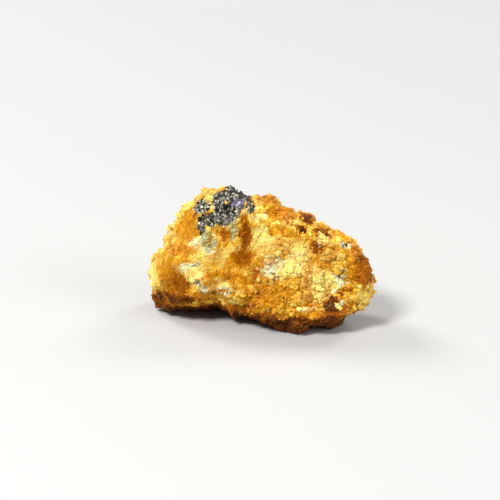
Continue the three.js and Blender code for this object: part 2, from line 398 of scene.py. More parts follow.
class StageSettings(PropertyGroup):
    distance: FloatProperty(
        name="Distance", description="From the camera to the stone", default=480 * MM, subtype="DISTANCE"
    )
    elevation: FloatProperty(
        name="Elevation", description="How far the camera looks down", default=FACE_LEAN, subtype="ANGLE"
    )
    lens: FloatProperty(
        name="Lens", description="Focal length in millimetres", default=270.0, subtype="DISTANCE_CAMERA"
    )
    aim_right: FloatProperty(
        name="Aim right", description="Aim right of the middle", default=-1.55 * MM, subtype="DISTANCE"
    )
    aim_up: FloatProperty(
        name="Aim up", description="Aim above the middle", default=0.05 * MM, subtype="DISTANCE"
    )
    key: FloatProperty(name="Key light", description="Power of the key light", default=3.45, subtype="POWER")
    rim: FloatProperty(name="Rim light", description="Power of the rear light", default=1.8, subtype="POWER")
    fill: FloatProperty(name="Fill light", description="Power of side light", default=1.0, subtype="POWER")
    sky: FloatProperty(name="Sky", description="Strength of the even light all round", default=0.2)


class SpecimenSettings(PropertyGroup):
    crust: PointerProperty(type=CrustSettings)
    fibres: PointerProperty(type=FibreSettings)
    grains: PointerProperty(type=GrainSettings)
    colours: PointerProperty(type=ColourSettings)
    stage: PointerProperty(type=StageSettings)


# Places on the stone


def smooth_step(low, high, value):
    share = np.clip((value - low) / (high - low), 0.0, 1.0)
    return share * share * (3.0 - 2.0 * share)


def unit(vectors):
    return vectors / np.maximum(np.linalg.norm(vectors, axis=-1, keepdims=True), 1e-12)


def noise_at(points, wave, layer=0):
    """Smooth noise from -1 to 1 at points in metres, its bumps about wave apart."""
    shift = LAYER_SHIFT * layer
    return np.array([noise.noise(p) for p in (points / wave + shift).tolist()])


def noise_vectors(points, wave, layer=0):
    shift = LAYER_SHIFT * layer
    return np.array([noise.noise_vector(p) for p in (points / wave + shift).tolist()])


def cells_at(points, size):
    """Distance from each point to its nearest cell's centre, and to the crease round that cell, in cells."""
    found = np.array([noise.voronoi(p)[0][:2] for p in (points / size).tolist()])
    return found[:, 0], found[:, 1] - found[:, 0]


def node_points():
    """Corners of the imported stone."""
    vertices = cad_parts[STONE_NODE].data.vertices
    flat = np.empty(len(vertices) * 3)
    vertices.foreach_get("co", flat)
    return flat.reshape(-1, 3)


def face_middle():
    """The v in the middle of the stone as seen square on, and the w of its rim there, in millimetres."""
    points = node_points() / MM
    u, v, w = points @ U_AXIS, points @ V_AXIS, points @ W_AXIS
    v_middle = (v.min() + v.max()) / 2
    rim = [u.argmin(), u.argmax(), v.argmax()]
    w_middle = np.mean(w[rim] - RIM_TURN * u[rim] - RIM_TIP * (v[rim] - v_middle))
    return v_middle, w_middle


V_MIDDLE, W_MIDDLE = face_middle()


def face_places(points):
    """u and v of points in metres, and how far each is on the front, from 0 to 1."""
    u = points @ U_AXIS / MM
    v = points @ V_AXIS / MM - V_MIDDLE
    w = points @ W_AXIS / MM - W_MIDDLE - RIM_TURN * u - RIM_TIP * v
    return u, v, smooth_step(*FRONT_FADE, w)


def patch_weight(patch, u, v, front):
    """1 times the patch's strength in its middle, fading to 0 past its edge."""
    turn = math.radians(patch.tilt)
    along = (u - patch.u) * math.cos(turn) + (v - patch.v) * math.sin(turn)
    across = (v - patch.v) * math.cos(turn) - (u - patch.u) * math.sin(turn)
    inside = smooth_step(*PATCH_FADE, np.hypot(along / patch.half_wide, across / patch.half_high))
    share = front if patch.side == FRONT else 1.0 - front
    return patch.strength * inside * share


def ragged_places(points):
    """Face places with ragged edges, so that no patch is a clean oval."""
    moved = points
    for shift, wave, layer in RAGGED_EDGES:
        moved = moved + shift * noise_vectors(points, wave, layer)
    return face_places(moved)


def zone_weights(points):
    """How much of each mineral or stain there is at each point, from 0 to 1; the rust also holds painted
    shade on the underside.
    """
    u, v, front = ragged_places(points)
    weights = {}
    for zone, patches in ZONES.items():
        weights[zone] = np.max([patch_weight(p, u, v, front) for p in patches], axis=0)
    swing = noise_at(points, RUST_WAVE, 2)
    plain = {side: mean + reach * swing for side, (mean, reach) in PLAIN_RUST.items()}
    weights["rust"] = np.maximum(weights["rust"], front * plain[FRONT] + (1.0 - front) * plain[BACK])
    clean = 1.0 - np.maximum(weights["cream"], weights["olive"])
    weights["rust"] = weights["rust"] * smooth_step(*CLEAN_FADE, clean)
    # Painted shade: low on the stone the rust rises, standing partly for stain and partly for the
    # underside's shade.
    low = smooth_step(*UNDERSIDE_STAIN_SHADE_FADE, points[:, 2] / MM + UNDERSIDE_STAIN_SHADE_SWING * swing)
    weights["rust"] = np.maximum(weights["rust"], UNDERSIDE_RUST_AND_SHADE * low)
    return weights


def sugar_weight(points):
    u, v, front = face_places(points)
    return np.max([patch_weight(p, u, v, front) for p in SUGAR], axis=0)


def fan_weight(points):
    u, v, front = face_places(points)
    return np.max([patch_weight(fan.patch, u, v, front) for fan in FANS], axis=0)


def lump_shades(points, hollows):
    """A shade from 0, deep, to 1, pale, that changes from lump to lump and is deeper in hollows as painted
    shade.
    """
    u, v, front = ragged_places(points)
    pale = np.max([patch_weight(p, u, v, front) for p in PALE], axis=0)
    deep = np.max([patch_weight(p, u, v, front) for p in DEEP], axis=0)
    lump = sum(swing * noise_at(points, wave, layer) for swing, wave, layer in SHADE_WAVES)
    return np.clip(SHADE_MEAN + pale - deep + lump - HOLLOW_PAINTED_SHADE * hollows, 0.0, 1.0)


# Meshes


def only_select(piece):
    bpy.ops.object.select_all(action="DESELECT")
    piece.select_set(True)
    bpy.context.view_layer.objects.active = piece


def apply_modifier(piece, kind, **settings):
    modifier = piece.modifiers.new(kind.title(), kind)
    for name, value in settings.items():
        setattr(modifier, name, value)
    only_select(piece)
    bpy.ops.object.modifier_apply(modifier=modifier.name)


def vertex_arrays(mesh):
    """Places and normals of a mesh's vertices."""
    places = np.empty(len(mesh.vertices) * 3)
    normals = np.empty(len(mesh.vertices) * 3)
    mesh.vertices.foreach_get("co", places)
    mesh.vertices.foreach_get("normal", normals)
    return places.reshape(-1, 3), normals.reshape(-1, 3)


def set_attributes(mesh, values):
    for name, numbers in values.items():
        attribute = mesh.attributes.new(name, "FLOAT", "POINT")
        attribute.data.foreach_set("value", np.ascontiguousarray(numbers, np.float32))


def joined_mesh(name, points, faces):
    """One object from many copies: points is copies by corners by 3, faces the corners of each face."""
    copies, corners, _ = points.shape
    loops = np.concatenate([np.array(face) for face in faces])
    totals = np.array([len(face) for face in faces])
    starts = np.concatenate([[0], np.cumsum(totals)[:-1]])
    step = np.arange(copies)[:, None]
    mesh = bpy.data.meshes.new(name)
    mesh.vertices.add(copies * corners)
    mesh.vertices.foreach_set("co", points.reshape(-1))
    mesh.loops.add(copies * len(loops))
    mesh.loops.foreach_set("vertex_index", (loops[None, :] + step * corners).reshape(-1).astype(np.int32))
    mesh.polygons.add(copies * len(faces))
    loop_starts = (starts[None, :] + step * len(loops)).reshape(-1)
    mesh.polygons.foreach_set("loop_start", loop_starts.astype(np.int32))
    mesh.update(calc_edges=True)
    mesh.shade_flat()
    piece = bpy.data.objects.new(name, mesh)
    bpy.context.scene.collection.objects.link(piece)
    return piece


REST_CLEARANCE = (0.3 * MM, 1.0 * MM)  # heights between which fibres and grains start
LIE_REACH = 1.2 * MM  # how far round a fibre the stone's normals are evened out
FLOOR_GAP = 0.02 * MM


class Surface:
    """The finished crust, to stand fibres and grains on."""

    def __init__(self):
        mesh = bpy.data.objects[CRUST_NAME].data
        count = len(mesh.polygons)
        self.centres = np.empty(count * 3)
        self.normals = np.empty(count * 3)
        self.areas = np.empty(count)
        mesh.polygons.foreach_get("center", self.centres)
        mesh.polygons.foreach_get("normal", self.normals)
        mesh.polygons.foreach_get("area", self.areas)
        self.centres = self.centres.reshape(-1, 3)
        self.normals = self.normals.reshape(-1, 3)
        self.lift = smooth_step(*REST_CLEARANCE, self.centres[:, 2])
        self.hollows = self.corner_values(mesh, "hollow")
        self.tree = face_tree(mesh)

    def corner_values(self, mesh, name):
        """An attribute of the crust at each face's first corner."""
        values = np.empty(len(mesh.vertices), np.float32)
        mesh.attributes[name].data.foreach_get("value", values)
        starts = np.empty(len(mesh.polygons), np.int32)
        mesh.polygons.foreach_get("loop_start", starts)
        corners = np.empty(len(mesh.loops), np.int32)
        mesh.loops.foreach_get("vertex_index", corners)
        return values[corners[starts]]

    def sites(self, rng, count, density):
        """Faces picked at random, more where density is high and none near the resting side."""
        chance = self.areas * density * self.lift
        return rng.choice(len(chance), count, p=chance / chance.sum())

    def heights(self, points):
        """How far each point stands off the crust, below 0 inside it."""
        found = [self.tree.find_nearest(p) for p in points.tolist()]
        return np.array([(Vector(p) - near[0]).dot(near[1]) for p, near in zip(points.tolist(), found)])


def face_tree(mesh):
    return BVHTree.FromPolygons([v.co for v in mesh.vertices], [p.vertices[:] for p in mesh.polygons])


def lie_normals(points):
    """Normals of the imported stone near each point, evened out so that neighbours lie alike."""
    tree = face_tree(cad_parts[STONE_NODE].data)
    near = [tree.find_nearest_range(p, LIE_REACH) or [tree.find_nearest(p)] for p in points.tolist()]
    return unit(np.array([np.sum([found[1] for found in all_found], axis=0) for all_found in near]))


def above_floor(points):
    points[..., 2] = np.maximum(points[..., 2], FLOOR_GAP)
    return points


# Fibres and grains


class Fibres(NamedTuple):
    """Straight fibres: the middle, the way and the upper side of each, its length and its width."""

    middles: np.ndarray
    ways: np.ndarray
    ups: np.ndarray
    lengths: np.ndarray
    widths: np.ndarray


SIDES = 3
SHOULDERS = (-0.42, 0.43)  # where a fibre is widest, as shares of its length from its middle
FAN_RISE = math.radians(4)  # how unevenly the fibres of a fan rise off the stone
FELT_RISE = math.radians(14)
FELT_TURNS = 2.5 * math.pi  # how far the felt's way wanders over the stone
FELT_WAVE = 2.6 * MM
FELT_SCATTER = 0.5
FELT_THINNING = {"sugar": 0.45, "fan": 0.4}  # how much less felt there is on sugary lumps and on fans
FIBRE_SPREAD = 0.3  # of the fibres' widths and lengths
SHEAF_HALF_WIDTH = 0.19 * MM
SHEAF_STAGGER = 0.3  # as a share of a fibre's length
FIBRE_SEAT = (-0.35, 0.12)  # how high a fibre lies, in widths
THICKNESS = 0.7  # of a fibre, as a share of its width


def fibre_points(fibres):
    """Corners of each fibre: its tail, a ring at each shoulder and its tip."""
    across = unit(np.cross(fibres.ways, fibres.ups))
    up = np.cross(across, fibres.ways)
    tail, tip = (fibres.middles + end * fibres.lengths[:, None] * fibres.ways for end in (-0.5, 0.5))
    corners = [tail]
    for shoulder in SHOULDERS:
        middle = fibres.middles + shoulder * fibres.lengths[:, None] * fibres.ways
        for side in range(SIDES):
            angle = 2 * math.pi * (side / SIDES + 0.25)
            turn = math.cos(angle) * across + THICKNESS * math.sin(angle) * up
            corners.append(middle + 0.5 * fibres.widths[:, None] * turn)
    return np.stack([*corners, tip], axis=1)


def fibre_faces():
    """Corners of each face of one fibre."""
    tip = 1 + SIDES * len(SHOULDERS)
    after = [(i + 1) % SIDES for i in range(SIDES)]
    tail_faces = [(0, 1 + after[i], 1 + i) for i in range(SIDES)]
    low, high = 1, 1 + SIDES
    long_faces = [(low + i, low + after[i], high + after[i], high + i) for i in range(SIDES)]
    tip_faces = [(high + i, high + after[i], tip) for i in range(SIDES)]
    return tail_faces + long_faces + tip_faces


def lay_fibres(name, fibres, weights, shade):
    """One piece of joined fibres, with what each grows on as its attributes."""
    points = above_floor(fibre_points(fibres))
    piece = joined_mesh(name, points, fibre_faces())
    corners = points.shape[1]
    values = {zone: np.repeat(weight, corners) for zone, weight in weights.items()}
    values["shade"] = np.repeat(shade, corners)
    set_attributes(piece.data, values)
    return piece


def turned_ways(normals, angles):
    """Ways along the crust at angles from u, in the plane of the front face."""
    flat = np.cos(angles)[:, None] * U_AXIS + np.sin(angles)[:, None] * V_AXIS
    return unit(flat - normals * np.sum(flat * normals, axis=1, keepdims=True))


def fan_sheaves(surface, rng, fan, per_sheaf):
    """Sites of one fan's fibres, their angles, their usual length and how steeply they rise."""
    weight = patch_weight(fan.patch, *face_places(surface.centres))
    sites = np.repeat(surface.sites(rng, fan.sheaves, weight), per_sheaf)
    sheaf_turn = np.repeat(rng.normal(0.0, fan.scatter, fan.sheaves), per_sheaf)
    angles = np.radians(fan.way + sheaf_turn + rng.normal(0.0, fan.scatter / 2, len(sites)))
    rises = rng.normal(0.0, FAN_RISE, len(sites))
    return sites, angles, np.full(len(sites), fan.length * MM), rises


def felt_sheaves(surface, rng, settings):
    """The same for the short fibres that lie every way between the fans."""
    density = 1.0 - FELT_THINNING["sugar"] * sugar_weight(surface.centres)
    density = density - FELT_THINNING["fan"] * fan_weight(surface.centres)
    picked = surface.sites(rng, settings.felt_sheaves, density)
    turn = FELT_TURNS * noise_at(surface.centres[picked], FELT_WAVE, 3)
    sites = np.repeat(picked, settings.per_sheaf)
    angles = np.repeat(turn, settings.per_sheaf) + rng.normal(0.0, FELT_SCATTER, len(sites))
    rises = rng.normal(0.0, FELT_RISE, len(sites))
    return sites, angles, np.full(len(sites), settings.felt_length), rises


def grow_fibres(surface, rng, settings):
    """All fibres of the stone, in sheaves, and the site of each."""
    groups = [fan_sheaves(surface, rng, fan, settings.per_sheaf) for fan in FANS]
    groups.append(felt_sheaves(surface, rng, settings))
    sites, angles, lengths, rises = (np.concatenate(part) for part in zip(*groups))
    count = len(sites)
    widths = settings.width * rng.lognormal(0.0, FIBRE_SPREAD, count)
    ups = lie_normals(surface.centres[sites])
    flat = turned_ways(ups, angles)
    ways = flat * np.cos(rises)[:, None] + ups * np.sin(rises)[:, None]
    beside = np.cross(ups, flat) * rng.normal(0.0, SHEAF_HALF_WIDTH, count)[:, None]
    along = flat * rng.normal(0.0, SHEAF_STAGGER, count)[:, None] * lengths[:, None]
    seat = ups * (widths * rng.uniform(*FIBRE_SEAT, count))[:, None]
    lengths = lengths * rng.lognormal(0.0, FIBRE_SPREAD, count)
    fibres = Fibres(surface.centres[sites] + beside + along + seat, ways, ups, lengths, widths)
    ends = [fibres.middles + end * lengths[:, None] * ways for end in (-0.5, 0.5)]
    low = np.maximum(*(surface.heights(end) for end in ends)) < settings.stand_off
    return pick(fibres, low), sites[low]


def pick(fibres, chosen):
    return Fibres(*(part[chosen] for part in fibres))


def read_shape(piece):
    """Corners and faces of a modelled shape, which is then removed."""
    places, _ = vertex_arrays(piece.data)
    faces = [tuple(face.vertices) for face in piece.data.polygons]
    mesh = piece.data
    bpy.data.objects.remove(piece)
    bpy.data.meshes.remove(mesh)
    return places, faces


def chipped_shape(add_primitive, seed, offset):
    """One grain a unit across: a primitive whose corners are knocked about."""
    bpy.ops.object.select_all(action="DESELECT")
    add_primitive()
    piece = bpy.context.active_object
    bpy.ops.object.mode_set(mode="EDIT")
    bpy.ops.mesh.select_all(action="SELECT")
    bpy.ops.transform.vertex_random(offset=offset, uniform=0.3, seed=seed)
    bpy.ops.object.mode_set(mode="OBJECT")
    return read_shape(piece)


def add_nugget():
    bpy.ops.mesh.primitive_ico_sphere_add(subdivisions=1, radius=0.5)


def add_cube():
    bpy.ops.mesh.primitive_cube_add(size=0.85)


def random_turns(rng, count):
    """Rotation matrices spread evenly over all turns."""
    quaternions = unit(rng.normal(size=(count, 4)))
    w, x, y, z = quaternions.T
    return np.stack(
        [
            np.stack([1 - 2 * (y * y + z * z), 2 * (x * y - z * w), 2 * (x * z + y * w)], axis=-1),
            np.stack([2 * (x * y + z * w), 1 - 2 * (x * x + z * z), 2 * (y * z - x * w)], axis=-1),
            np.stack([2 * (x * z - y * w), 2 * (y * z + x * w), 1 - 2 * (x * x + y * y)], axis=-1),
        ],
        axis=1,
    )


GRAIN_STRETCH = (0.55, 1.5)  # of a grain along each of its axes
# Spread of each kind of grain's sizes, and its least and greatest size in millimetres.
SUGAR_SIZING = (0.35, 0.18, 0.85)
QUARTZ_SIZING = (0.3, 0.12, 0.42)
OXIDE_SIZING = (0.35, 0.1, 0.6)


def lay_grains(name, shapes, places, sizes, weights, shade, rng):
    """One piece of joined grains, dealt out among the shapes."""
    pieces = []
    for k, (corners, faces) in enumerate(shapes):
        mine = np.arange(k, len(places), len(shapes))
        stretch = rng.uniform(*GRAIN_STRETCH, (len(mine), 1, 3)) * sizes[mine][:, None, None]
        turned = np.einsum("nij,nkj->nki", random_turns(rng, len(mine)), corners[None] * stretch)
        points = above_floor(turned + places[mine][:, None, :])
        piece = joined_mesh(f"{name}_{k}", points, faces)
        values = {zone: np.repeat(weight[mine], len(corners)) for zone, weight in weights.items()}
        values["shade"] = np.repeat(shade[mine], len(corners))
        set_attributes(piece.data, values)
        pieces.append(piece)
    bpy.ops.object.select_all(action="DESELECT")
    for piece in pieces:
        piece.select_set(True)
    bpy.context.view_layer.objects.active = pieces[0]
    bpy.ops.object.join()
    pieces[0].name = name
    pieces[0].data.name = name
    return pieces[0]


def grain_sizes(rng, usual, count, sizing):
    """Sizes of grains round the usual one, from their spread and their limits in millimetres."""
    spread, least, most = sizing
    return np.clip(usual * rng.lognormal(0.0, spread, count), least * MM, most * MM)


def seated(surface, picked, sizes, depth):
    """Middles of grains that sit in the crust, sunk by a share of their size."""
    return surface.centres[picked] + surface.normals[picked] * (sizes * (0.5 - depth))[:, None]


# Materials


def add_node(tree, kind, inputs=None, **settings):
    """A shader node with its settings, and with values or links on its inputs."""
    made = tree.nodes.new(kind)
    for name, value in settings.items():
        setattr(made, name, value)
    for key, value in (inputs or {}).items():
        if isinstance(value, bpy.types.NodeSocket):
            tree.links.new(value, made.inputs[key])
        else:
            made.inputs[key].default_value = value
    return made


def attribute(tree, name):
    return add_node(tree, "ShaderNodeAttribute", attribute_name=name).outputs["Fac"]


def math_node(tree, operation, first, second):
    return add_node(tree, "ShaderNodeMath", {0: first, 1: second}, operation=operation).outputs[0]


def object_noise(tree, size, detail=3.0, roughness=0.55):
    """Noise from 0 to 1 on the stone, its blotches about size across in metres."""
    place = add_node(tree, "ShaderNodeTexCoord").outputs["Object"]
    inputs = {"Vector": place, "Scale": 1.0 / size, "Detail": detail, "Roughness": roughness}
    return add_node(tree, "ShaderNodeTexNoise", inputs).outputs["Fac"]


def spread(tree, value, low, high, to_low=0.0, to_high=1.0):
    inputs = {"Value": value, "From Min": low, "From Max": high, "To Min": to_low, "To Max": to_high}
    return add_node(tree, "ShaderNodeMapRange", inputs, clamp=True).outputs["Result"]


def ramp(tree, factor, stops):
    """A colour ramp from (place, colour) stops."""
    made = add_node(tree, "ShaderNodeValToRGB", {"Fac": factor})
    elements = made.color_ramp.elements
    while len(elements) < len(stops):
        elements.new(0.5)
    for element, (place, colour) in zip(elements, stops):
        element.position = place
        element.color = (*colour, 1.0)
    return made.outputs["Color"]


def mix_colours(tree, factor, first, second, blend="MIX"):
    made = add_node(tree, "ShaderNodeMix", data_type="RGBA", blend_type=blend)
    for socket, value in zip((made.inputs[0], made.inputs[6], made.inputs[7]), (factor, first, second)):
        if isinstance(value, bpy.types.NodeSocket):
            tree.links.new(value, socket)
        else:
            socket.default_value = value
    return made.outputs[2]


def stained_colour(tree, colours, jitter):
    """The mineral's colour from its zone attributes, broken up by jitter, a socket that runs from 0 to 1."""
    wobble = math_node(tree, "SUBTRACT", jitter, 0.5)

    def zone(name, low, high, sway):
        moved = math_node(tree, "MULTIPLY_ADD", wobble, sway)
        moved.node.inputs[2].default_value = 0.0
        tree.links.new(attribute(tree, name), moved.node.inputs[2])
        return spread(tree, moved, low, high)

    straw_stops = [(0.25, colours.straw_deep), (0.5, colours.straw), (0.78, colours.straw_pale)]
    straw = ramp(tree, jitter, straw_stops)
    stain = zone("rust", 0.0, 1.0, 0.5)
    rust = ramp(tree, stain, [(0.3, colours.orange), (0.68, colours.brown), (1.0, colours.umber)])
    colour = mix_colours(tree, spread(tree, stain, 0.12, 0.5), straw, rust)
    pale = ramp(tree, jitter, [(0.3, colours.ice), (0.6, colours.cream), (0.8, colours.straw_pale)])
    colour = mix_colours(tree, zone("cream", 0.3, 0.7, 0.6), colour, pale)
    glassy = ramp(tree, jitter, [(0.25, colours.olive), (0.8, colours.ice)])
    colour = mix_colours(tree, zone("olive", 0.3, 0.75, 0.5), colour, glassy)
    metal = ramp(tree, jitter, [(0.4, colours.oxide), (0.75, colours.steel)])
    colour = mix_colours(tree, zone("oxide", 0.35, 0.7, 0.5), colour, metal)
    purple = (*colours.violet, 1.0)
    return mix_colours(tree, zone("violet", 0.4, 0.8, 0.6), colour, purple)


SUBSURFACE_RADIUS = (1.0, 0.75, 0.35)  # how much further red light spreads in the mineral than blue
SUBSURFACE_SCALE = 0.5 * MM


def new_material(name, roughness, subsurface, specular=0.12):
    """A material with one Principled shader: its tree and that shader."""
    material = bpy.data.materials.new(name)
    material.use_nodes = True
    shader = material.node_tree.nodes["Principled BSDF"]
    shader.inputs["Roughness"].default_value = roughness
    shader.inputs["Subsurface Weight"].default_value = subsurface
    shader.inputs["Subsurface Radius"].default_value = SUBSURFACE_RADIUS
    shader.inputs["Subsurface Scale"].default_value = SUBSURFACE_SCALE
    shader.inputs["Specular IOR Level"].default_value = specular
    return material, material.node_tree, shader


def crust_material(colours):
    """Stained, gritty crust, with painted shade making its creases browner and darker."""
    material, tree, shader = new_material("stained_crust", 0.7, 0.25)
    grit = object_noise(tree, 0.4 * MM, 5.0, 0.65)
    jitter = math_node(tree, "ADD", attribute(tree, "shade"), spread(tree, grit, 0.28, 0.72, -0.12, 0.12))
    colour = stained_colour(tree, colours, jitter)
    # Painted shade: the crust's colour is multiplied browner and darker in its hollows and creases.
    dark = mix_colours(tree, 1.0, colour, (0.6, 0.38, 0.18, 1.0), "MULTIPLY")
    colour = mix_colours(tree, spread(tree, attribute(tree, "hollow"), 0.2, 1.0, 0.0, 0.8), colour, dark)
    tree.links.new(colour, shader.inputs["Base Color"])
    tree.links.new(spread(tree, grit, 0.3, 0.7, 0.82, 0.5), shader.inputs["Roughness"])
    fine = object_noise(tree, 0.14 * MM, 4.0, 0.6)
    bump = add_node(tree, "ShaderNodeBump", {"Strength": 0.5, "Distance": 0.05 * MM, "Height": fine})
    tree.links.new(bump.outputs["Normal"], shader.inputs["Normal"])
    return material


def fibre_material(name, colours, roughness, specular):
    """Silky fibres, each of its own shade."""
    material, tree, shader = new_material(name, roughness, 0.3, specular)
    colour = stained_colour(tree, colours, attribute(tree, "shade"))
    tree.links.new(colour, shader.inputs["Base Color"])
    return material


def grain_material(name, colours, roughness, subsurface, specular):
    """Sugary or glassy grains, each of its own shade."""
    material, tree, shader = new_material(name, roughness, subsurface, specular)
    colour = stained_colour(tree, colours, attribute(tree, "shade"))
    tree.links.new(colour, shader.inputs["Base Color"])
    return material


def oxide_material(colours):
    """Dark metallic grains with steel-bright and violet faces."""
    material, tree, shader = new_material("dark_oxide", 0.34, 0.0, 0.5)
    shader.inputs["Metallic"].default_value = 0.55
    shade = attribute(tree, "shade")
    metal = ramp(tree, shade, [(0.45, colours.oxide), (0.95, colours.steel)])
    violet = (*colours.violet, 1.0)
    colour = mix_colours(tree, spread(tree, attribute(tree, "violet"), 0.25, 0.7), metal, violet)
    tree.links.new(colour, shader.inputs["Base Color"])
    return material


def floor_material(colours):
    material = bpy.data.materials.new("pale_floor")
    material.use_nodes = True
    shader = material.node_tree.nodes["Principled BSDF"]
    shader.inputs["Base Color"].default_value = (*colours.floor, 1.0)
    shader.inputs["Roughness"].default_value = 0.6
    return material


def dress(piece, material):
    piece.data.materials.clear()
    piece.data.materials.append(material)
    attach(piece, BODY)


# Operators


RIDGE_LENGTH, RIDGE_GAP = 2.6, 0.3  # of the ridges along a fan's fibres, in millimetres
CREASE_WIDTH = 0.3  # in cells
CRUST_WARP = (0.25 * MM, 0.9 * MM)  # how far the clods are bent, and the wave of that
GRIT_WAVE = 0.38 * MM
FAN_CALM = 0.7  # how much smoother the crust is under a fan


def fibre_ridges(points):
    """Low ridges along each fan's fibres, from -1 to 1 times how much of a fan there is."""
    u, v, front = face_places(points)
    height = np.zeros(len(points))
    for layer, fan in enumerate(FANS):
        weight = patch_weight(fan.patch, u, v, front)
        near = np.flatnonzero(weight > 0.02)
        turn = math.radians(fan.way)
        along = u[near] * math.cos(turn) + v[near] * math.sin(turn)
        across = v[near] * math.cos(turn) - u[near] * math.sin(turn)
        lines = np.stack([along / RIDGE_LENGTH, across / RIDGE_GAP, np.full(len(near), 4.0 * layer)], axis=1)
        height[near] += weight[near] * noise_at(lines, 1.0)
    return height


def crust_relief(points, settings):
    """How far each point of the crust stands out, in metres, and how hollow it is there, from 0 to 1."""
    bend, wave = CRUST_WARP
    warped = points + bend * noise_vectors(points, wave, 4)
    sugar = sugar_weight(points)
    clod, clod_gap = cells_at(warped, settings.clod_size)
    lump, lump_gap = cells_at(warped, settings.lump_size)
    calm = 1.0 - FAN_CALM * fan_weight(points)
    height = settings.clod_height * (0.5 - clod) * calm - settings.sink
    height += settings.lump_height * (0.45 - lump) * (0.35 + 0.65 * sugar) * calm
    height += settings.grit_height * noise_at(points, GRIT_WAVE, 5)
    height += settings.ridge_height * fibre_ridges(points)
    u, v, front = face_places(points)
    for pit in PITS:
        height -= MM * patch_weight(pit, u, v, front)
    clod_crease = smooth_step(CREASE_WIDTH, 0.0, clod_gap)
    lump_crease = (0.4 + 0.6 * sugar) * smooth_step(CREASE_WIDTH, 0.0, lump_gap)
    crease = np.maximum(clod_crease, lump_crease)
    return height, np.maximum(crease * calm, smooth_step(0.1, -0.5, fibre_ridges(points)))


class CARPHOLITE_OT_crust(Operator):
    """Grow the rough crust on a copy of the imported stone"""

    bl_idname = "carpholite.crust"
    bl_label = "Crust"

    def execute(self, context):
        specimen = context.scene.carpholite
        settings = specimen.crust
        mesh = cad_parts[STONE_NODE].data.copy()
        crust = bpy.data.objects.new(CRUST_NAME, mesh)
        context.scene.collection.objects.link(crust)
        only_select(crust)
        bpy.ops.object.mode_set(mode="EDIT")
        bpy.ops.mesh.select_all(action="SELECT")
        bpy.ops.mesh.remove_doubles(threshold=0.001 * MM)
        bpy.ops.object.mode_set(mode="OBJECT")
        apply_modifier(crust, "REMESH", mode="VOXEL", voxel_size=settings.voxel)
        apply_modifier(crust, "SMOOTH", factor=0.5, iterations=4)
        places, normals = vertex_arrays(crust.data)
        height, hollow = crust_relief(places, settings)
        height *= smooth_step(0.0, 0.9 * MM, places[:, 2])
        places += normals * height[:, None]
        places[:, 2] = np.maximum(places[:, 2], 0.0)
        crust.data.vertices.foreach_set("co", places.reshape(-1))
        crust.data.update()
        crust.data.name = CRUST_NAME
        bpy.ops.object.shade_smooth()
        values = {**zone_weights(places), "hollow": hollow, "shade": lump_shades(places, hollow)}
        set_attributes(crust.data, values)
        dress(crust, crust_material(specimen.colours))
        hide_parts(STONE_NODE)
        return {"FINISHED"}


class CARPHOLITE_OT_fibres(Operator):
    """Lay the straw-yellow and the rusty fibres on the crust"""

    bl_idname = "carpholite.fibres"
    bl_label = "Fibres"

    def execute(self, context):
        specimen = context.scene.carpholite
        rng = np.random.default_rng(specimen.fibres.seed)
        surface = Surface()
        fibres, sites = grow_fibres(surface, rng, specimen.fibres)
        weights = zone_weights(fibres.middles + rng.normal(0.0, 0.15 * MM, fibres.middles.shape))
        weights["violet"] = np.zeros(len(sites))
        weights["rust"] = weights["rust"] + 0.2 * surface.hollows[sites]
        shade = lump_shades(fibres.middles, surface.hollows[sites])
        shade += rng.normal(0.0, FIBRE_SHADE_SPREAD, len(sites))
        bare = weights["oxide"] > 0.4
        rusty = weights["rust"] > 0.42
        for name, chosen, roughness, specular in (
            ("straw_fibres", ~rusty & ~bare, 0.42, 0.3),
            ("rust_fibres", rusty & ~bare, 0.5, 0.06),
        ):
            mine = {zone: weight[chosen] for zone, weight in weights.items()}
            piece = lay_fibres(name, pick(fibres, chosen), mine, shade[chosen])
            dress(piece, fibre_material(name, specimen.colours, roughness, specular))
        return {"FINISHED"}


NEEDLE_LIFT = 0.15  # how far a needle's middle stands off the crust, as a share of its length
NEEDLE_RISE = (math.radians(25), math.radians(75))
NEEDLE_WIDTH = 0.42  # as a share of its length


class CARPHOLITE_OT_needles(Operator):
    """Stand short needles all over the crust"""

    bl_idname = "carpholite.needles"
    bl_label = "Needles"

    def execute(self, context):
        specimen = context.scene.carpholite
        grains = specimen.grains
        rng = np.random.default_rng(grains.seed + 1)
        surface = Surface()
        picked = surface.sites(rng, grains.needles, np.ones(len(surface.areas)))
        lengths = grains.needle_length * rng.lognormal(0.0, 0.35, len(picked))
        ups = surface.normals[picked]
        flat = turned_ways(ups, rng.uniform(0.0, 2 * math.pi, len(picked)))
        rises = rng.uniform(*NEEDLE_RISE, len(picked))
        ways = flat * np.cos(rises)[:, None] + ups * np.sin(rises)[:, None]
        widths = NEEDLE_WIDTH * lengths * rng.uniform(0.7, 1.2, len(picked))
        middles = surface.centres[picked] + NEEDLE_LIFT * lengths[:, None] * ways
        needles = Fibres(middles, ways, flat, lengths, widths)
        weights = zone_weights(needles.middles)
        weights["violet"] = np.zeros(len(picked))
        shade = lump_shades(needles.middles, surface.hollows[picked])
        shade += rng.normal(0.0, GRAIN_SHADE_SPREAD, len(picked))
        piece = lay_fibres("needles", needles, weights, shade)
        dress(piece, fibre_material("needles", specimen.colours, 0.4, 0.25))
        return {"FINISHED"}


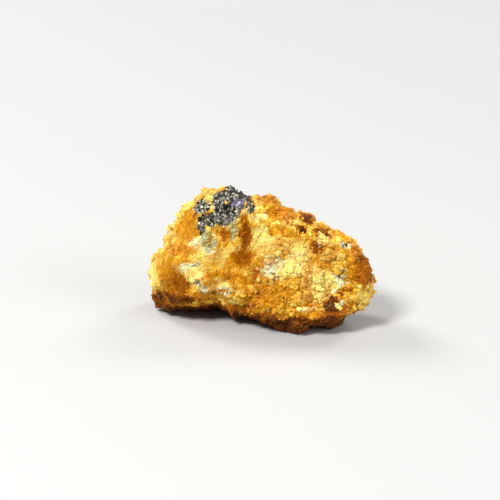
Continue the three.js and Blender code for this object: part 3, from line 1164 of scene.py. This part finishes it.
class CARPHOLITE_OT_sugar(Operator):
    """Seat the sugary grains in the crust"""

    bl_idname = "carpholite.sugar"
    bl_label = "Sugary grains"

    def execute(self, context):
        specimen = context.scene.carpholite
        grains = specimen.grains
        rng = np.random.default_rng(grains.seed)
        surface = Surface()
        picked = surface.sites(rng, grains.sugar, 0.12 + sugar_weight(surface.centres))
        sizes = grain_sizes(rng, grains.sugar_size, len(picked), SUGAR_SIZING)
        places = seated(surface, picked, sizes, 0.5)
        weights = zone_weights(places + rng.normal(0.0, 0.25 * MM, places.shape))
        weights["oxide"] = np.zeros(len(picked))
        weights["rust"] = weights["rust"] + 0.25 * surface.hollows[picked]
        weights["violet"] = np.zeros(len(picked))
        shade = lump_shades(places, surface.hollows[picked])
        shade += rng.normal(0.0, GRAIN_SHADE_SPREAD, len(picked))
        shapes = [chipped_shape(add_nugget, seed, 0.12) for seed in range(5)]
        piece = lay_grains("sugary_grains", shapes, places, sizes, weights, shade, rng)
        dress(piece, grain_material("sugary_grains", specimen.colours, 0.45, 0.4, 0.2))
        return {"FINISHED"}


class CARPHOLITE_OT_quartz(Operator):
    """Seat white and grey quartz grains in the pale patches and among the oxide"""

    bl_idname = "carpholite.quartz"
    bl_label = "Quartz grains"

    def execute(self, context):
        specimen = context.scene.carpholite
        grains = specimen.grains
        rng = np.random.default_rng(grains.seed + 2)
        surface = Surface()
        zones = zone_weights(surface.centres)
        pale = np.maximum(0.4 * zones["cream"], 0.5 * zones["olive"])
        density = np.maximum(np.maximum(pale, zones["oxide"]) - 0.22, 0.0)
        picked = surface.sites(rng, grains.quartz, density)
        sizes = grain_sizes(rng, grains.quartz_size, len(picked), QUARTZ_SIZING)
        places = seated(surface, picked, sizes, 0.45)
        blank = np.zeros(len(picked))
        weights = {"rust": blank, "cream": blank + 1.0, "olive": zones["olive"][picked], "violet": blank}
        weights["oxide"] = 0.52 * zones["oxide"][picked]
        shade = np.clip(rng.normal(0.36, 0.16, len(picked)), 0.0, 1.0)
        shapes = [chipped_shape(add_nugget, seed, 0.16) for seed in range(5, 8)]
        piece = lay_grains("quartz_grains", shapes, places, sizes, weights, shade, rng)
        dress(piece, grain_material("quartz_grains", specimen.colours, 0.22, 0.35, 0.5))
        return {"FINISHED"}


class CARPHOLITE_OT_oxide(Operator):
    """Seat the dark metallic grains at the crest"""

    bl_idname = "carpholite.oxide"
    bl_label = "Oxide grains"

    def execute(self, context):
        specimen = context.scene.carpholite
        grains = specimen.grains
        rng = np.random.default_rng(grains.seed + 3)
        surface = Surface()
        zones = zone_weights(surface.centres)
        picked = surface.sites(rng, grains.oxide, np.maximum(zones["oxide"] - 0.2, 0.0))
        sizes = grain_sizes(rng, grains.oxide_size, len(picked), OXIDE_SIZING)
        places = seated(surface, picked, sizes, 0.35)
        weights = {"violet": zone_weights(places)["violet"]}
        shade = rng.uniform(0.0, 1.0, len(picked))
        shapes = [chipped_shape(add_cube, seed, 0.14) for seed in range(8, 12)]
        piece = lay_grains("oxide_grains", shapes, places, sizes, weights, shade, rng)
        dress(piece, oxide_material(specimen.colours))
        return {"FINISHED"}


# Where each light stands and how wide it is, in metres.
LIGHTS = {
    "key": ((-0.22, -0.28, 0.42), 0.16),
    "left_rim": ((-0.3, 0.26, 0.32), 0.2),
    "right_rim": ((0.3, 0.28, 0.34), 0.2),
    "fill": ((0.36, -0.22, 0.22), 0.3),
}
RIGHT_RIM_SHARE = 0.6  # of the left rim light's power
FLOOR_SIZE = 4.0


def add_light(name, place, aim, power, size):
    data = bpy.data.lights.new(name, "AREA")
    data.energy = power
    data.shape = "DISK"
    data.size = size
    lamp = bpy.data.objects.new(name, data)
    lamp.location = place
    lamp.rotation_euler = (aim - place).to_track_quat("-Z", "Y").to_euler()
    bpy.context.scene.collection.objects.link(lamp)


def add_camera(stage, middle):
    data = bpy.data.cameras.new("camera")
    data.lens = stage.lens
    camera = bpy.data.objects.new("camera", data)
    lean = stage.elevation
    up = Vector((0.0, math.sin(lean), math.cos(lean)))
    back = Vector((0.0, -math.cos(lean), math.sin(lean)))
    aim = middle + Vector((stage.aim_right, 0.0, 0.0)) + stage.aim_up * up
    camera.location = aim + stage.distance * back
    camera.rotation_euler = (-back).to_track_quat("-Z", "Y").to_euler()
    bpy.context.scene.collection.objects.link(camera)
    bpy.context.scene.camera = camera


class CARPHOLITE_OT_stage(Operator):
    """Set up the pale floor, the soft lights and the camera"""

    bl_idname = "carpholite.stage"
    bl_label = "Stage"

    def execute(self, context):
        specimen = context.scene.carpholite
        stage = specimen.stage
        bpy.ops.object.select_all(action="DESELECT")
        bpy.ops.mesh.primitive_plane_add(size=FLOOR_SIZE)
        floor = context.active_object
        floor.name = "floor"
        floor.data.materials.append(floor_material(specimen.colours))
        low, high = CAD_BOX
        middle = (low + high) / 2
        powers = {"key": stage.key, "left_rim": stage.rim, "fill": stage.fill}
        powers["right_rim"] = RIGHT_RIM_SHARE * stage.rim
        for name, (place, size) in LIGHTS.items():
            add_light(name, Vector(place), middle, powers[name], size)
        world = bpy.data.worlds.new("even_light")
        world.use_nodes = True
        background = world.node_tree.nodes["Background"]
        background.inputs["Color"].default_value = (1.0, 1.0, 1.0, 1.0)
        background.inputs["Strength"].default_value = stage.sky
        context.scene.world = world
        context.scene.view_settings.view_transform = "Standard"
        add_camera(stage, middle)
        return {"FINISHED"}


class CARPHOLITE_PT_panel(Panel):
    """The specimen's operators and settings"""

    bl_label = "Carpholite"
    bl_idname = "CARPHOLITE_PT_panel"
    bl_space_type = "VIEW_3D"
    bl_region_type = "UI"
    bl_category = "Carpholite"

    def draw(self, context):
        specimen = context.scene.carpholite
        for operator in OPERATORS:
            self.layout.operator(operator.bl_idname)
        for name in ("crust", "fibres", "grains", "colours", "stage"):
            box = self.layout.box()
            box.label(text=name.title())
            settings = getattr(specimen, name)
            for key in settings.__annotations__:
                box.prop(settings, key)


OPERATORS = (
    CARPHOLITE_OT_crust,
    CARPHOLITE_OT_fibres,
    CARPHOLITE_OT_needles,
    CARPHOLITE_OT_sugar,
    CARPHOLITE_OT_quartz,
    CARPHOLITE_OT_oxide,
    CARPHOLITE_OT_stage,
)
CLASSES = (
    CrustSettings,
    FibreSettings,
    GrainSettings,
    ColourSettings,
    StageSettings,
    SpecimenSettings,
    *OPERATORS,
    CARPHOLITE_PT_panel,
)


def register():
    for cls in CLASSES:
        bpy.utils.register_class(cls)
    bpy.types.Scene.carpholite = PointerProperty(type=SpecimenSettings)


def unregister():
    del bpy.types.Scene.carpholite
    for cls in reversed(CLASSES):
        bpy.utils.unregister_class(cls)


def main():
    register()
    bpy.ops.carpholite.crust()
    bpy.ops.carpholite.fibres()
    bpy.ops.carpholite.needles()
    bpy.ops.carpholite.sugar()
    bpy.ops.carpholite.quartz()
    bpy.ops.carpholite.oxide()
    bpy.ops.carpholite.stage()


if __name__ == "__main__":
    main()
